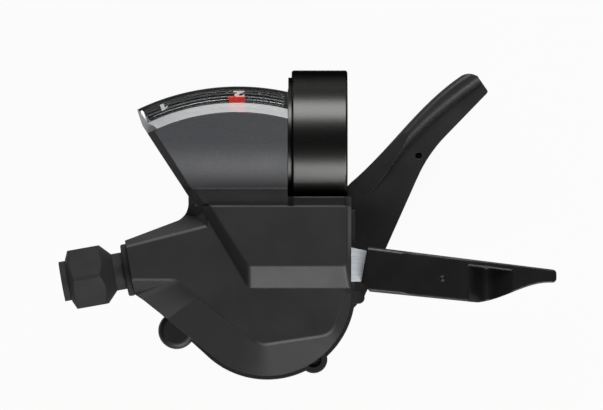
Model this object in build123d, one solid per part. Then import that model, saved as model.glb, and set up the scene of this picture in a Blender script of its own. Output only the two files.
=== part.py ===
from build123d import *
import os
from math import asin, atan2, cos, degrees, hypot, radians, sin, sqrt, tan

os.makedirs("parts", exist_ok=True)

# A left-hand two-speed trigger shifter. Origin: centre of the handlebar clamp. X runs along the bar
# towards the grip, Y towards the rider, Z up. All sizes in millimetres, angles in degrees.

# Handlebar clamp
bar_d = 22.2
bar_room = 0.6                  # air between the bar and everything but the band
clamp_wall = 3.4
clamp_width = 11.7
clamp_edge = 0.5
clamp_shoulder_w = 0.7          # low shoulder on the band, next to the hood
clamp_shoulder = 1.5
clamp_room = 0.35               # air between the band and the cover
clamp_slit = 2.4
ear_t = 3.4
ear_w = 9.6
ear_drop = 8.2
clamp_bolt_d = 5.0
clamp_head_d = 8.5
clamp_head_h = 5.0
clamp_key_af = 4.0
clamp_nut_af = 8.0
clamp_nut_h = 4.0
foot_left_x = -5.3
foot_right_x = 2.5
foot_t = 3.2
foot_reach = 20.2
foot_screw_d = 2.5
foot_screw_head_d = 3.7
foot_screw_head_h = 2.0
foot_screw_edge = 2.0           # from the foot's end to its screws
foot_screw_pitch = 4.0

# Main axis, which the drum and both levers turn on
main_x = -11.0
main_y = -32.0
axle_d = 6.0
axle_head_d = 9.2
axle_head_t = 1.0
run_fit = 0.05                  # radial clearance of what turns on a pin
gap = 0.3                       # air between parts that pass each other

# Housing
base_top = -7.0
base_t = 2.0
base_lip = 1.0
wall = 1.2
body_r = 17.6
body_back_y = -12.0
lower_face_z = 10.8
side_draft = 45.0
side_drop = 9.0                 # height of the sloping sides, upright below
crease_front_r = 4.0            # rounding of the lower face's corners
crease_boss_r = 3.0
crease_edge = 0.5
panel_z = 13.0
panel_back_y = -14.0
panel_front_y = -26.5
panel_slope = 4.6
panel_corner_x = -14.9
panel_back_x = -22.8
panel_left_slope = 2.2
panel_right_slope = 0.8
panel_front_r = 2.0
panel_right_r = 1.2
panel_edge = 0.45
neck_x = -27.4
neck_round = 2.2
valley_z = 12.0
stop_tab_r = 1.3
boss_up = 6.2                   # boss of the cable outlet, to both sides of its axis
boss_down = 5.2
boss_ridge = 3.7
flank_in = 1.9                  # start of the flank, from the boss's corner
flank_down = 1.3
crease_right = 1.0              # lower face's edge, in from the outline of the housing
crease_corner_right = 3.7
crease_corner_front = 8.6
crease_front_in = 6.3
crease_front_left = 1.5
crease_boss_left = 2.6
crease_boss_front = 2.3
crease_neck = 3.6
neck_front = 2.0                # neck's ends, before and behind the panel's and body's back
neck_rear = 4.0
neck_low_in = 0.7               # bends of the neck's left edge
neck_low_front = 0.6
neck_mid_in = 2.3
neck_mid_front = 0.3
neck_bend_front = 3.0
door_front = 1.0                # opening for the release arm, from the main axis
door_back = 15.0
door_depth = 4.0

# Hood over the bar, with the display window
hood_z = 17.6
hood_rise = 2.2                 # rise of the hood's face towards the rider
hood_fall_y = -1.0              # where the hood's face starts to round down
hood_round_r = 15.5
hood_round_turn = 58.0
hood_bevel = 1.5                # along the top of the hood's left wall
hood_arc_x = -16.95
hood_arc_y = -37.33
hood_arc_r = 48.24
hood_left_x = -38.0
hood_corner = 3.3               # length of the bevel at the hood's left corner
hood_floor_t = 0.9
window_w = 5.41                 # from the hood's edge to the rider's side
lens_rise = 0.3                 # lens edge below the hood's face
lens_bevel = 2.0
lens_bevel_drop = 1.0
lens_bevel_ease = 0.35          # drop over the bevel's flatter half
lens_end_bevel = 1.3
lens_fall = 0.6
lens_t = 0.6
dial_t = 0.6
dial_width = 8.0
dial_ridge = 0.16
dial_ridge_pitch = 0.6
dial_ridges = 6

# Cable outlet
cable_tilt = 10.1               # the outlet points this far off -X, towards the front
outlet_x = -39.6
socket_flange_d = 11.0
socket_flange_t = 1.4
socket_edge = 0.4
socket_d = 9.6
socket_depth = 5.5
socket_pocket = 3.6
collar_d = 7.8
collar_inside = 1.0
collar_flats = 7.0
slide_fit = 0.1
collar_len = 2.2
knob_flat_d = 12.4              # across its flats
knob_corner_d = 13.9            # across its softened corners
knob_len = 9.7
knob_inner_bevel = 2.9
knob_outer_bevel = 1.1
knob_outer_end_d = 9.0
knob_flats = 6
adjuster_d = 6.0
adjuster_end_d = 8.4
adjuster_end_len = 1.44
adjuster_inside = 8.0
housing_bore_d = 5.2
housing_bore_depth = 6.0
cable_bore_d = 1.8
adjuster_spring_t = 0.3
adjuster_spring_discs = 4

# Drum and ratchet
drum_flange = 1.0
drum_lip = 1.45                 # cable groove's depth
drum_groove_w = 2.2
spring_room_r = 6.9
spring_room_depth = 3.0
nipple_d = 4.0
ratchet_t = 1.8
ratchet_teeth = 10
ratchet_tooth = 2.1
drum_spring_wire = 0.7
drum_spring_turns = 2

# Pawls
pawl_pin_d = 2.4
pawl_eye_d = 4.4
pawl_nose_d = 1.2
winding_pin_r = 15.5
winding_pin_at = 182.0
winding_nose_at = 159.0
winding_swing = 42.0
holding_pin_at = -22.0
holding_nose_at = -45.0
pawl_wire = 0.5
pawl_spring_hook = 1.2
pawl_spring_start = 225.0
pawl_spring_sweep = 270.0

# Levers
thumb_t = 3.0
thumb_drop = 5.2                # blade's top below the base plate
thumb_hub_r = 9.0
thumb_disc_r = 14.5
thumb_rib_rise = 2.0            # rib above the blade
thumb_rib_h = 8.6
thumb_rib_w = 4.4
thumb_rib_round = 1.2
thumb_rib_flank = 1.9            # rounding of the rib's inner side
thumb_rib_fade = 16.0           # length over which the rib fades out
thumb_corner_r = 0.6
thumb_knee_r = 30.0
thumb_hole_d = 1.4
thumb_hole_depth = 2.0
thumb_spring_wire = 1.0
thumb_spring_turns = 2
thumb_spring_h = 1.6
release_t = 1.5
release_hub_r = 6.0
release_up = 2.4                # finger piece above the steel arm
release_down = 1.9              # and below it
release_round = 0.7
release_step_x = 7.2            # from the finger piece's root to the step in its face
release_step = 0.25
release_step_len = 1.2
release_fall = 1.2              # fall of the face from the scoop to the tip
release_scoop = 3.2             # depth of the scoop for the fingertip
release_scoop_x = 21.2          # its start, bottom and end, from the finger piece's root
release_scoop_low = 3.6
release_scoop_len = 11.5
release_rim = 1.3               # rim left beside the scoop, on the rider's side
release_tip_r = 0.9
release_dimple_d = 0.8
release_wire = 0.8
release_spring_r = 7.2
release_spring_start = 84.0
release_spring_end = 300.0
release_spring_hook = 1.5
axle_washer_d = 11.0
axle_washer_t = 0.8
axle_nut_af = 10.0
axle_nut_h = 3.5
axle_end = 0.6

# Pointer
pivot_x = -17.2
pivot_y = -35.5
pivot_d = 2.4
pivot_boss_d = 4.8
pointer_t = 0.8
pointer_w = 1.4
pointer_hub_d = 5.2
pointer_flag_w = 3.4
pointer_flag_len = 3.1
pointer_flag_out = 1.75         # middle of the flag beyond the hood's edge
pointer_lean = 9.0              # the arm leaves its pivot this far off the dial mark, clear of the neck
drive_pin_d = 1.8
drive_pin_r = 8.3
drive_room = 0.12
gear_swing = 36.0               # turn of the drum from gear 2 to gear 1
pointer_screw_d = 4.2
pointer_screw_h = 1.0
pivot_screw_r = 0.7
pivot_screw_len = 3.0

# Cover screws
screw_d = 2.5
screw_head_d = 4.0
screw_head_h = 1.2
ear_a_r = 3.9
ear_a_edge = 1.3
ear_a_out = 0.8
ear_a_along = 9.6
ear_b_r = 2.9
ear_b_at = -55.6
ear_b_dimple_d = 3.2
ear_b_dimple = 0.8
ear_roof = 0.8                  # left above the screws in the ears
cover_ear_h = 3.2
post_x = -31.6
post_y = -32.6
post_d = 4.4
post_screw_reach = 6.0

# Window edge, measured from the pointer's pivot
window_r = hood_arc_y + hood_arc_r - pivot_y - window_w

# Heights of the stack on the main axle, from the base plate up
base_bottom = base_top - base_t
release_z = base_top + gap
ratchet_z = release_z + release_t + gap
drum_z = ratchet_z + ratchet_t
drum_top = drum_z + 2 * drum_flange + drum_groove_w
cable_z = drum_z + drum_flange + drum_groove_w / 2
axle_head_z = drum_top + gap
pointer_z = axle_head_z + axle_head_t + gap
pawl_top = ratchet_z + ratchet_t

# Heights below the base plate
thumb_top = base_bottom - thumb_drop
thumb_bottom = thumb_top - thumb_t
thumb_rib_top = thumb_top + thumb_rib_rise
thumb_hub_top = base_bottom - gap
axle_washer_z = thumb_bottom - gap - axle_washer_t
axle_nut_z = axle_washer_z - axle_nut_h

# Ratchet and drum fill the round end of the housing, beside the eye of the holding pawl
ratchet_tip_r = body_r - wall - pawl_eye_d - 2 * gap
ratchet_root_r = ratchet_tip_r - ratchet_tooth
drum_flange_r = ratchet_tip_r - gap
groove_r = drum_flange_r - drum_lip

bar_r = bar_d / 2
clamp_r = bar_r + clamp_wall
axle_r = axle_d / 2
bore_r = axle_r + run_fit
hood_right_x = -clamp_width / 2 - clamp_shoulder_w - slide_fit
body_right_x = main_x + body_r
far = 200.0                     # longer than anything, for cutting tools


def rod(x, y, r, z0, z1):
    """Upright cylinder."""
    return extrude(Pos(x, y, z0) * Circle(r), amount=z1 - z0, dir=(0, 0, 1))


def prism(sketch, z0, z1):
    """Upright solid of a flat outline."""
    return extrude(Pos(0, 0, z0) * sketch, amount=z1 - z0, dir=(0, 0, 1))


def outline(*points):
    """Flat face inside straight lines."""
    return make_face(Polyline(*points, close=True))


def across(sketch, x0, x1):
    """Solid of a side outline (Y, Z), drawn along X."""
    return extrude(Plane.YZ.offset(x0) * sketch, amount=x1 - x0, dir=(1, 0, 0))


def polar(r, angle, x=main_x, y=main_y):
    """Point at a radius and angle, about the main axis unless told otherwise."""
    return (x + r * cos(radians(angle)), y + r * sin(radians(angle)))


def strap(p, q, p_r, q_r):
    """Flat outline of a link with two round ends."""
    along = degrees(atan2(q[1] - p[1], q[0] - p[0]))
    lean = degrees(asin((p_r - q_r) / hypot(q[0] - p[0], q[1] - p[1])))
    sides = [along + 90 - lean, along - 90 + lean]
    corners = [polar(p_r, sides[0], *p), polar(q_r, sides[0], *q)]
    corners += [polar(q_r, sides[1], *q), polar(p_r, sides[1], *p)]
    return outline(*corners) + Pos(*p) * Circle(p_r) + Pos(*q) * Circle(q_r)


def spiral(x, y, r, step, turns, wire, z0, z1):
    """Flat coil spring of half circles, each wider than the last."""
    coil = None
    for half in range(2 * turns):
        centre_x = x if half % 2 == 0 else x + step / 2
        radius = r + half * step / 2
        arc = CenterArc((centre_x, y), radius, 180 * (half % 2), 180)
        band = trace(arc, line_width=wire)
        coil = band if coil is None else coil + band
    return prism(coil, z0, z1)


def hooked_arc(x, y, r, start, end, hook, wire, z0, z1):
    """Bent wire spring: an arc about a pin, with both ends turned outwards."""
    bent = trace(CenterArc((x, y), r, start, end - start), line_width=wire)
    for angle in (start, end):
        inner = polar(r - wire / 2, angle, x, y)
        bent = bent + trace(Line(inner, polar(r + hook, angle, x, y)), line_width=wire)
    return prism(bent, z0, z1)


def save(name, solid):
    """Write one piece to its own file."""
    export_step(solid, os.path.join("parts", name + ".step"))


# Directions of the cable outlet: out of the housing, and square to that
out_dir = Vector(-cos(radians(cable_tilt)), -sin(radians(cable_tilt)), 0)
side_dir = Vector(-sin(radians(cable_tilt)), cos(radians(cable_tilt)), 0)
tangent = Vector(main_x, main_y, 0) + side_dir * groove_r
outlet = tangent + out_dir * ((tangent.X - outlet_x) / cos(radians(cable_tilt)))
outlet_plane = Plane(origin=(outlet.X, outlet.Y, cable_z), x_dir=side_dir, z_dir=out_dir)


def on_outlet(r, s0, s1):
    """Cylinder on the cable outlet's axis, from s0 to s1 out of the housing's end face."""
    return extrude(outlet_plane.offset(s0) * Circle(r), amount=s1 - s0, dir=out_dir)


# Plan of the housing: a round end on the main axis, a straight flank and the boss of the cable outlet
boss_top = outlet + side_dir * boss_up
boss_low = outlet - side_dir * boss_down
flank = (boss_low.X + flank_in, boss_low.Y - flank_down)
flank_dist = hypot(main_x - flank[0], main_y - flank[1])
flank_angle = degrees(atan2(main_y - flank[1], main_x - flank[0])) - degrees(asin(body_r / flank_dist))
flank_end = polar(body_r, flank_angle - 90)
flank_out = polar(1, flank_angle - 90, 0, 0)
flank_along = polar(1, flank_angle, 0, 0)


def housing_plan(round_r, back_y):
    """Outline of the housing seen from above, with its round end at the given radius."""
    grow = round_r - body_r
    bend = (neck_x, panel_back_y + neck_low_front)
    bend_end = (neck_x - neck_round, panel_back_y - neck_bend_front)
    lines = [
        TangentArc(bend, bend_end, tangent=(0, -1)),
        Polyline(
            bend_end,
            (boss_top.X, boss_top.Y),
            (boss_low.X, boss_low.Y),
            flank,
            (flank_end[0] + grow * flank_out[0], flank_end[1] + grow * flank_out[1]),
            (main_x, main_y),
            (body_right_x + grow, main_y),
            (body_right_x + grow, back_y),
            (neck_x, back_y),
            bend,
        ),
    ]
    return make_face(lines) + Pos(main_x, main_y) * Circle(round_r)


ear_a = (
    main_x + flank_out[0] * (body_r + ear_a_out) - flank_along[0] * ear_a_along,
    main_y + flank_out[1] * (body_r + ear_a_out) - flank_along[1] * ear_a_along,
)
ear_b = polar(body_r - gap, ear_b_at)

# Lower face of the cover, where its sides start to slope down
right_crease_x = body_right_x - crease_right
front_crease = (main_x - crease_front_left, main_y - body_r + crease_front_in)
corner_crease = (main_x + body_r - crease_corner_right, main_y - body_r + crease_corner_front)
boss_crease = (neck_x - crease_boss_left, outlet.Y - crease_boss_front)
past_end_x = outlet.X - boss_up
neck_front_y = panel_back_y - neck_front
neck_rear_y = body_back_y + neck_rear


def lower_face():
    """Outline of the cover's lower face; it runs past the housing where the sides stay upright."""
    face = outline(
        (past_end_x, outlet.Y + boss_ridge),
        (neck_x + crease_neck, panel_back_y - neck_rear),
        (neck_x + crease_neck, neck_rear_y),
        (right_crease_x, neck_rear_y),
        (right_crease_x, main_y),
        corner_crease,
        front_crease,
        boss_crease,
        (past_end_x, boss_crease[1]),
    )
    roundings = [(corner_crease, crease_front_r), (front_crease, crease_front_r)]
    roundings.append((boss_crease, crease_boss_r))
    for corner, r in roundings:
        face = fillet(face.vertices().sort_by_distance(Vector(*corner))[0], r)
    return face


def body_form(inset):
    """Body under the lower face, with sloping sides and a fine bevel along the crease."""
    plan = shrunk(lower_face(), inset)
    bevel_z = lower_face_z - inset - crease_edge * tan(radians(90 - side_draft) / 2)
    body = extrude(Pos(0, 0, bevel_z) * plan, amount=side_drop, dir=(0, 0, -1), taper=-side_draft)
    faces = [Pos(0, 0, bevel_z) * plan, Pos(0, 0, lower_face_z - inset) * shrunk(plan, crease_edge)]
    body = body + prism(housing_plan(body_r, body_back_y), base_top, bevel_z - side_drop)
    return body + loft(faces, ruled=True)


def panel_form(inset):
    """Raised panel: a slope on its front and left, nearly upright on its right and back."""
    back = panel_back_y - inset
    right = body_right_x - inset
    front = panel_front_y + inset
    top = [(panel_back_x + inset, back), (right - panel_right_slope, back)]
    top += [(right - panel_right_slope, front), (panel_corner_x + inset, front)]
    foot = [(panel_back_x - panel_left_slope + inset, back), (right, back)]
    foot += [(right, front - panel_slope), (panel_corner_x + inset, front - panel_slope)]
    faces = [Pos(0, 0, lower_face_z - inset) * outline(*foot), Pos(0, 0, panel_z - inset) * outline(*top)]
    panel = loft(faces, ruled=True)
    if not inset:
        for low, high, r in ((foot[2], top[2], panel_right_r), (foot[3], top[3], panel_front_r)):
            middle = Vector(low[0] + high[0], low[1] + high[1], lower_face_z + panel_z) / 2
            panel = fillet(panel.edges().sort_by_distance(middle)[0], r)
        rim = panel.edges().group_by(Axis.Z)[-1].filter_by(lambda e: e.center().Y < back - 0.01)
        panel = fillet(rim, panel_edge)
    return panel + prism(outline(*foot), base_top, lower_face_z - inset)


def hood_arc(x):
    """Y of the hood's rider-side edge."""
    return hood_arc_y + sqrt(hood_arc_r ** 2 - (x - hood_arc_x) ** 2)


hood_top_left = Vector(hood_left_x, hood_arc(hood_left_x))
hood_wall_head = hood_top_left + Vector(hood_corner / 3, -hood_corner)
hood_wall_foot = Vector(neck_x - neck_low_front, body_back_y + crease_right)
hood_wall_run = (hood_wall_foot - hood_wall_head).normalized()
hood_wall_end = hood_wall_foot + hood_wall_run * ((panel_back_y - hood_wall_foot.Y) / hood_wall_run.Y)


def hood_plan():
    """Outline of the hood seen from above."""
    right_y = hood_arc(hood_right_x)
    lines = [
        ThreePointArc(
            (hood_right_x, right_y), (hood_arc_x, hood_arc_y + hood_arc_r), hood_top_left
        ),
        Polyline(
            hood_top_left,
            hood_wall_head,
            hood_wall_end,
            (hood_right_x, panel_back_y),
            (hood_right_x, right_y),
        ),
    ]
    return make_face(lines)


def left_of_hood(z, inset):
    """Space beyond a bevel on the hood's left wall, which starts at a height and leans inwards by half."""
    outward = Vector(hood_wall_run.Y, -hood_wall_run.X, 0)
    start = hood_wall_foot - outward * inset + Vector(0, 0, z)
    bevel_plane = Plane(origin=start, x_dir=hood_wall_run, z_dir=outward + Vector(0, 0, 1))
    return extrude(bevel_plane * Rectangle(far, far), amount=far)


def hood_side(inset, floor):
    """Side outline (Y, Z) of the hood: a face that rises to the rider and rounds down into the valley."""
    top = hood_z - inset
    radius = hood_round_r - inset
    rider_y = hood_arc_y + hood_arc_r
    start = (hood_fall_y, top)
    tilt = atan2(hood_rise, rider_y - hood_fall_y)
    turn = radians(hood_round_turn)
    end = (hood_fall_y - radius * (sin(turn) - sin(tilt)), top - radius * (cos(tilt) - cos(turn)))
    front_y = min(panel_back_y + inset, end[0])
    lines = [
        Line((rider_y, top + hood_rise), start),
        TangentArc(start, end, tangent=(-cos(tilt), -sin(tilt))),
        Polyline(
            end,
            (front_y, end[1] - 0.01),
            (front_y, 0),
            (0, 0),
            (0, floor),
            (rider_y, floor),
            (rider_y, top + hood_rise),
        ),
    ]
    return make_face(lines)


def bar_rod(r, x0, x1):
    """Cylinder along the handlebar."""
    return across(Circle(r), x0, x1)


def shrunk(sketch, inset):
    """Outline moved inwards, with its corners kept sharp."""
    return offset(sketch, amount=-inset, kind=Kind.INTERSECTION) if inset else sketch


foot_screw_y = foot_screw_edge - foot_reach
foot_mid_x = (foot_left_x + foot_right_x) / 2
foot_screws_x = (foot_mid_x - foot_screw_pitch / 2, foot_mid_x + foot_screw_pitch / 2)

# Upper cover: one moulding with the body, the raised panel, the neck over the bar and the hood
bar_clear_r = bar_r + bar_room
hood_floor_z = bar_clear_r + hood_floor_t


def neck_form(inset):
    """Bridge from the body to the hood, with the body's sloping side on its left."""
    corners = [
        (panel_back_x + neck_low_in, neck_front_y),
        (panel_back_x + neck_low_in, panel_back_y - neck_low_front),
        (neck_x + neck_mid_in, body_back_y - neck_mid_front),
        (neck_x, neck_rear_y),
        (hood_right_x, neck_rear_y),
        (hood_right_x, neck_front_y),
    ]
    top = Pos(0, 0, valley_z - inset) * shrunk(outline(*corners), inset)
    return extrude(top, amount=side_drop, dir=(0, 0, -1), taper=-side_draft)


def beside_hood(edge):
    """Distance of an edge's middle from the hood's left wall."""
    off = edge.position_at(0.5) - hood_wall_head
    return abs(off.X * hood_wall_run.Y - off.Y * hood_wall_run.X)


def hood_form(inset):
    """Hood over the bar, with a bevel along its left wall."""
    floor = hood_floor_z if inset else bar_clear_r
    hood = across(hood_side(inset, floor), -far / 2, hood_right_x - inset)
    hood = hood & prism(shrunk(hood_plan(), inset), 0, far)
    if not inset:
        crest = hood.edges().filter_by(lambda e: e.center().Z > valley_z and beside_hood(e) < 0.01)
        hood = chamfer(crest.filter_by(lambda e: abs(e.tangent_at(0.5).Y) > 0.3), hood_bevel)
    return hood


def cover_form(inset):
    """Outer form of the cover, or its hollow when moved inwards by the wall."""
    plan = housing_plan(body_r, body_back_y) + hood_plan()
    form = body_form(inset) + panel_form(inset) + neck_form(inset)
    form = form & prism(shrunk(plan, inset), base_top, hood_z)
    form = form + hood_form(inset)
    form = form - bar_rod(hood_floor_z if inset else bar_clear_r, -far / 2, far / 2)
    ring_r = clamp_r + clamp_room + inset
    return form - bar_rod(ring_r, hood_right_x - inset, far / 2)


def window_cut():
    """Everything beyond the hood's edge, above the hood's floor."""
    return prism(Rectangle(2 * far, 2 * far), hood_floor_z, far) - rod(pivot_x, pivot_y, window_r, 0, far)


def make_cover():
    ears = rod(*ear_a, ear_a_r, base_top, base_top + cover_ear_h)
    ears = fillet(ears.edges().group_by(Axis.Z)[-1], ear_a_edge)
    ears = ears + rod(*ear_b, ear_b_r, base_top, base_top + cover_ear_h)
    hollow = cover_form(wall) - ears
    below = prism(housing_plan(body_r, body_back_y), base_top - wall, base_top)
    hollow = hollow + (Pos(0, 0, -wall) * hollow & below)
    boss_z = lower_face_z - wall / 2
    pivot_boss = rod(pivot_x, pivot_y, pivot_boss_d / 2, pointer_z + pointer_t + gap, boss_z)
    pivot_pin = rod(pivot_x, pivot_y, pivot_d / 2, pointer_z, boss_z)
    outer = cover_form(0)
    post = rod(post_x, post_y, post_d / 2, base_top, far) & outer
    cover = outer + ears - hollow + pivot_boss + pivot_pin + post
    cover = cover - window_cut()
    ear_top = base_top + cover_ear_h
    for x, y in (ear_a, ear_b):
        cover = cover - rod(x, y, screw_d / 2, base_top, ear_top - ear_roof - ear_b_dimple)
    cover = cover - rod(*ear_b, ear_b_dimple_d / 2, ear_top - ear_b_dimple, ear_top)
    cover = cover - rod(post_x, post_y, screw_d / 2, base_top, base_top + post_screw_reach)
    cover = cover - rod(pivot_x, pivot_y, pivot_screw_r, pointer_z, pointer_z + pivot_screw_len)
    foot = outline(
        (foot_left_x - gap, -foot_reach - gap),
        (foot_right_x + gap, -foot_reach - gap),
        (foot_right_x + gap, 0),
        (foot_left_x - gap, 0),
    )
    cover = cover - prism(foot, base_top, base_top + foot_t + gap)
    for x in foot_screws_x:
        head_top = base_top + foot_t + foot_screw_head_h + gap
        cover = cover - rod(x, foot_screw_y, foot_screw_head_d / 2 + gap, base_top, head_top)
    arm_door = outline(
        (body_right_x - door_depth, main_y + door_front),
        (body_right_x + door_depth, main_y + door_front),
        (body_right_x + door_depth, main_y + door_back),
        (body_right_x - door_depth, main_y + door_back),
    )
    cover = cover - prism(arm_door, base_top, release_z + release_t + gap)
    return cover - on_outlet(socket_d / 2, -socket_depth, 1)


save("upper_cover", make_cover())


# Base plate
winding_pin = polar(winding_pin_r, winding_pin_at)
holding_pin = polar(body_r - wall - pawl_eye_d / 2 - gap, holding_pin_at)
cover_screw_places = (ear_a, ear_b, (post_x, post_y))
stop_tab_y = main_y - stop_tab_r


def make_base():
    plan = housing_plan(body_r + base_lip, body_back_y)
    plan = plan + Pos(*ear_a) * Circle(ear_a_r) + Pos(*ear_b) * Circle(ear_b_r)
    tab_root = (body_right_x - 1, stop_tab_y)
    tab_end = (body_right_x + base_lip + stop_tab_r / 2, stop_tab_y)
    plan = plan + strap(tab_root, tab_end, stop_tab_r, stop_tab_r)
    plan = plan - outline((-far, -clamp_r - gap), (far, -clamp_r - gap), (far, far), (-far, far))
    slot_w = pawl_pin_d + 2 * gap
    swing = CenterArc((main_x, main_y), winding_pin_r, winding_pin_at - winding_swing, winding_swing)
    plan = plan - trace(swing, line_width=slot_w)
    for angle in (winding_pin_at, winding_pin_at - winding_swing):
        plan = plan - Pos(*polar(winding_pin_r, angle)) * Circle(slot_w / 2)
    base = prism(plan, base_bottom, base_top)
    holes = [(main_x, main_y, axle_r), (*holding_pin, pawl_pin_d / 2)]
    holes += [(*place, screw_d / 2) for place in cover_screw_places]
    holes += [(x, foot_screw_y, foot_screw_d / 2) for x in foot_screws_x]
    for x, y, r in holes:
        base = base - rod(x, y, r, base_bottom, base_top)
    for place in cover_screw_places:
        base = base - rod(*place, screw_head_d / 2, base_bottom, base_bottom + screw_head_h)
    return base


save("base_plate", make_base())

# Handlebar band, with the slit and the bolt below the bar
clamp_bolt_z = -clamp_r - ear_drop / 2
ear_face = clamp_slit / 2 + ear_t


def along_y(sketch, y0, y1):
    """Solid of an outline (X, Z), drawn along Y."""
    return extrude(Plane.XZ.offset(-y0) * sketch, amount=y1 - y0, dir=(0, 1, 0))


def make_band():
    band = bar_rod(clamp_r, -clamp_width / 2, clamp_width / 2)
    band = fillet(band.edges().filter_by(GeomType.CIRCLE), clamp_edge)
    band = band + bar_rod(clamp_r - clamp_shoulder, -clamp_width / 2 - clamp_shoulder_w, 0)
    ears = prism(Rectangle(ear_w, 2 * ear_face), -clamp_r - ear_drop, -bar_r)
    ears = fillet(ears.edges().filter_by(Axis.Y).group_by(Axis.Z)[0], ear_w / 3)
    foot = outline(
        (foot_left_x, -foot_reach),
        (foot_right_x, -foot_reach),
        (foot_right_x, -bar_r),
        (foot_left_x, -bar_r),
    )
    band = band + ears + prism(foot, base_top, base_top + foot_t)
    band = band - bar_rod(bar_r, -far, far)
    band = band - prism(Rectangle(far, clamp_slit), -far, -bar_r / 2)
    band = band - along_y(Pos(0, clamp_bolt_z) * Circle(clamp_bolt_d / 2 + slide_fit), -far, far)
    for x in foot_screws_x:
        band = band - rod(x, foot_screw_y, foot_screw_d / 2, base_top, base_top + foot_t)
    return band


def make_clamp_bolt():
    tip = -ear_face - clamp_nut_h - 1
    head_end = ear_face + clamp_head_h
    bolt = along_y(Pos(0, clamp_bolt_z) * Circle(clamp_bolt_d / 2), tip, ear_face)
    bolt = bolt + along_y(Pos(0, clamp_bolt_z) * Circle(clamp_head_d / 2), ear_face, head_end)
    key = Pos(0, clamp_bolt_z) * RegularPolygon(clamp_key_af / 2, 6, major_radius=False)
    return bolt - along_y(key, ear_face + clamp_head_h / 2, head_end)


def make_clamp_nut():
    nut = Pos(0, clamp_bolt_z) * RegularPolygon(clamp_nut_af / 2, 6, major_radius=False)
    nut = nut - Pos(0, clamp_bolt_z) * Circle(clamp_bolt_d / 2)
    return along_y(nut, -ear_face - clamp_nut_h, -ear_face)


def screw(x, y, seat_z, head_d, head_h, shank_d, tip_z):
    """Pan-head screw with a six-sided key hole; the tip may be below or above its seat."""
    way = 1 if tip_z < seat_z else -1
    low, high = sorted((seat_z, tip_z))
    head_low, head_high = sorted((seat_z, seat_z + way * head_h))
    key_low, key_high = sorted((seat_z + way * head_h / 2, seat_z + way * head_h))
    body = rod(x, y, shank_d / 2, low, high) + rod(x, y, head_d / 2, head_low, head_high)
    return body - prism(Pos(x, y) * RegularPolygon(head_d / 4, 6), key_low, key_high)


save("clamp_band", make_band())
save("clamp_bolt", make_clamp_bolt())
save("clamp_nut", make_clamp_nut())
foot_top = base_top + foot_t
foot_screws = [
    screw(x, foot_screw_y, foot_top, foot_screw_head_d, foot_screw_head_h, foot_screw_d, base_bottom)
    for x in foot_screws_x
]
save("foot_screws", Compound(children=foot_screws))
screw_seat = base_bottom + screw_head_h
ear_tip = base_top + cover_ear_h - ear_roof - ear_b_dimple
cover_screws = [
    screw(*place, screw_seat, screw_head_d, screw_head_h, screw_d, tip)
    for place, tip in zip(cover_screw_places, (ear_tip, ear_tip, base_top + post_screw_reach))
]
save("cover_screws", Compound(children=cover_screws))

# Main axle with its nut and washer
axle = rod(main_x, main_y, axle_r, axle_nut_z - axle_end, axle_head_z)
axle = axle + rod(main_x, main_y, axle_head_d / 2, axle_head_z, axle_head_z + axle_head_t)
save("main_axle", axle)
washer = rod(main_x, main_y, axle_washer_d / 2, axle_washer_z, axle_washer_z + axle_washer_t)
save("axle_washer", washer - rod(main_x, main_y, axle_r, axle_washer_z, axle_washer_z + axle_washer_t))
nut = RegularPolygon(axle_nut_af / 2, 6, major_radius=False) - Circle(axle_r)
save("axle_nut", prism(Pos(main_x, main_y) * nut, axle_nut_z, axle_washer_z))

# Winding drum with the ratchet under it
drum_hub_r = axle_r + 1.0
pivot_dist = hypot(main_x - pivot_x, main_y - pivot_y)
pivot_line = degrees(atan2(main_y - pivot_y, main_x - pivot_x))
drive_pin = polar(drive_pin_r, pivot_line - gear_swing / 2)
drive_pin_low = drum_top - drum_flange - 1
nipple_at = cable_tilt - gear_swing


def make_drum():
    drum = rod(main_x, main_y, groove_r, drum_z, drum_top)
    for z in (drum_z, drum_top - drum_flange):
        drum = drum + rod(main_x, main_y, drum_flange_r, z, z + drum_flange)
    room = rod(main_x, main_y, spring_room_r, drum_top - spring_room_depth, drum_top)
    drum = drum - (room - rod(main_x, main_y, drum_hub_r, drum_z, drum_top))
    drum = drum - rod(main_x, main_y, bore_r, drum_z, drum_top)
    pocket = polar(groove_r, nipple_at)
    drum = drum - rod(*pocket, nipple_d / 2, drum_z + drum_flange, drum_top)
    return drum - rod(*drive_pin, drive_pin_d / 2, drive_pin_low, drum_top)


def make_ratchet():
    pitch = 360 / ratchet_teeth
    teeth = []
    for tooth in range(ratchet_teeth):
        teeth.append(polar(ratchet_root_r, tooth * pitch))
        teeth.append(polar(ratchet_tip_r, (tooth + 1) * pitch))
    plate = outline(*teeth) - Pos(main_x, main_y) * Circle(bore_r)
    return prism(plate, ratchet_z, ratchet_z + ratchet_t)


save("winding_drum", make_drum())
save("ratchet_plate", make_ratchet())
save("drive_pin", rod(*drive_pin, drive_pin_d / 2, drive_pin_low, pointer_z + pointer_t + gap))
coil_start = drum_hub_r + slide_fit + drum_spring_wire / 2
coil_end = spring_room_r - slide_fit - drum_spring_wire / 2
coil_step = (coil_end - coil_start) / drum_spring_turns
coil_z = drum_top - spring_room_depth
save("drum_spring", spiral(
    main_x, main_y, coil_start, coil_step, drum_spring_turns, drum_spring_wire, coil_z, drum_top - slide_fit
))

# Pawls: the winding pawl rides on the thumb lever, the holding pawl on the base plate
pawl_nose_r = ratchet_tip_r + gap + pawl_nose_d / 2


def make_pawl(pin, nose_at):
    plate = strap(pin, polar(pawl_nose_r, nose_at), pawl_eye_d / 2, pawl_nose_d / 2)
    return prism(plate - Pos(*pin) * Circle(pawl_pin_d / 2 + run_fit), ratchet_z, pawl_top)


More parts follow.
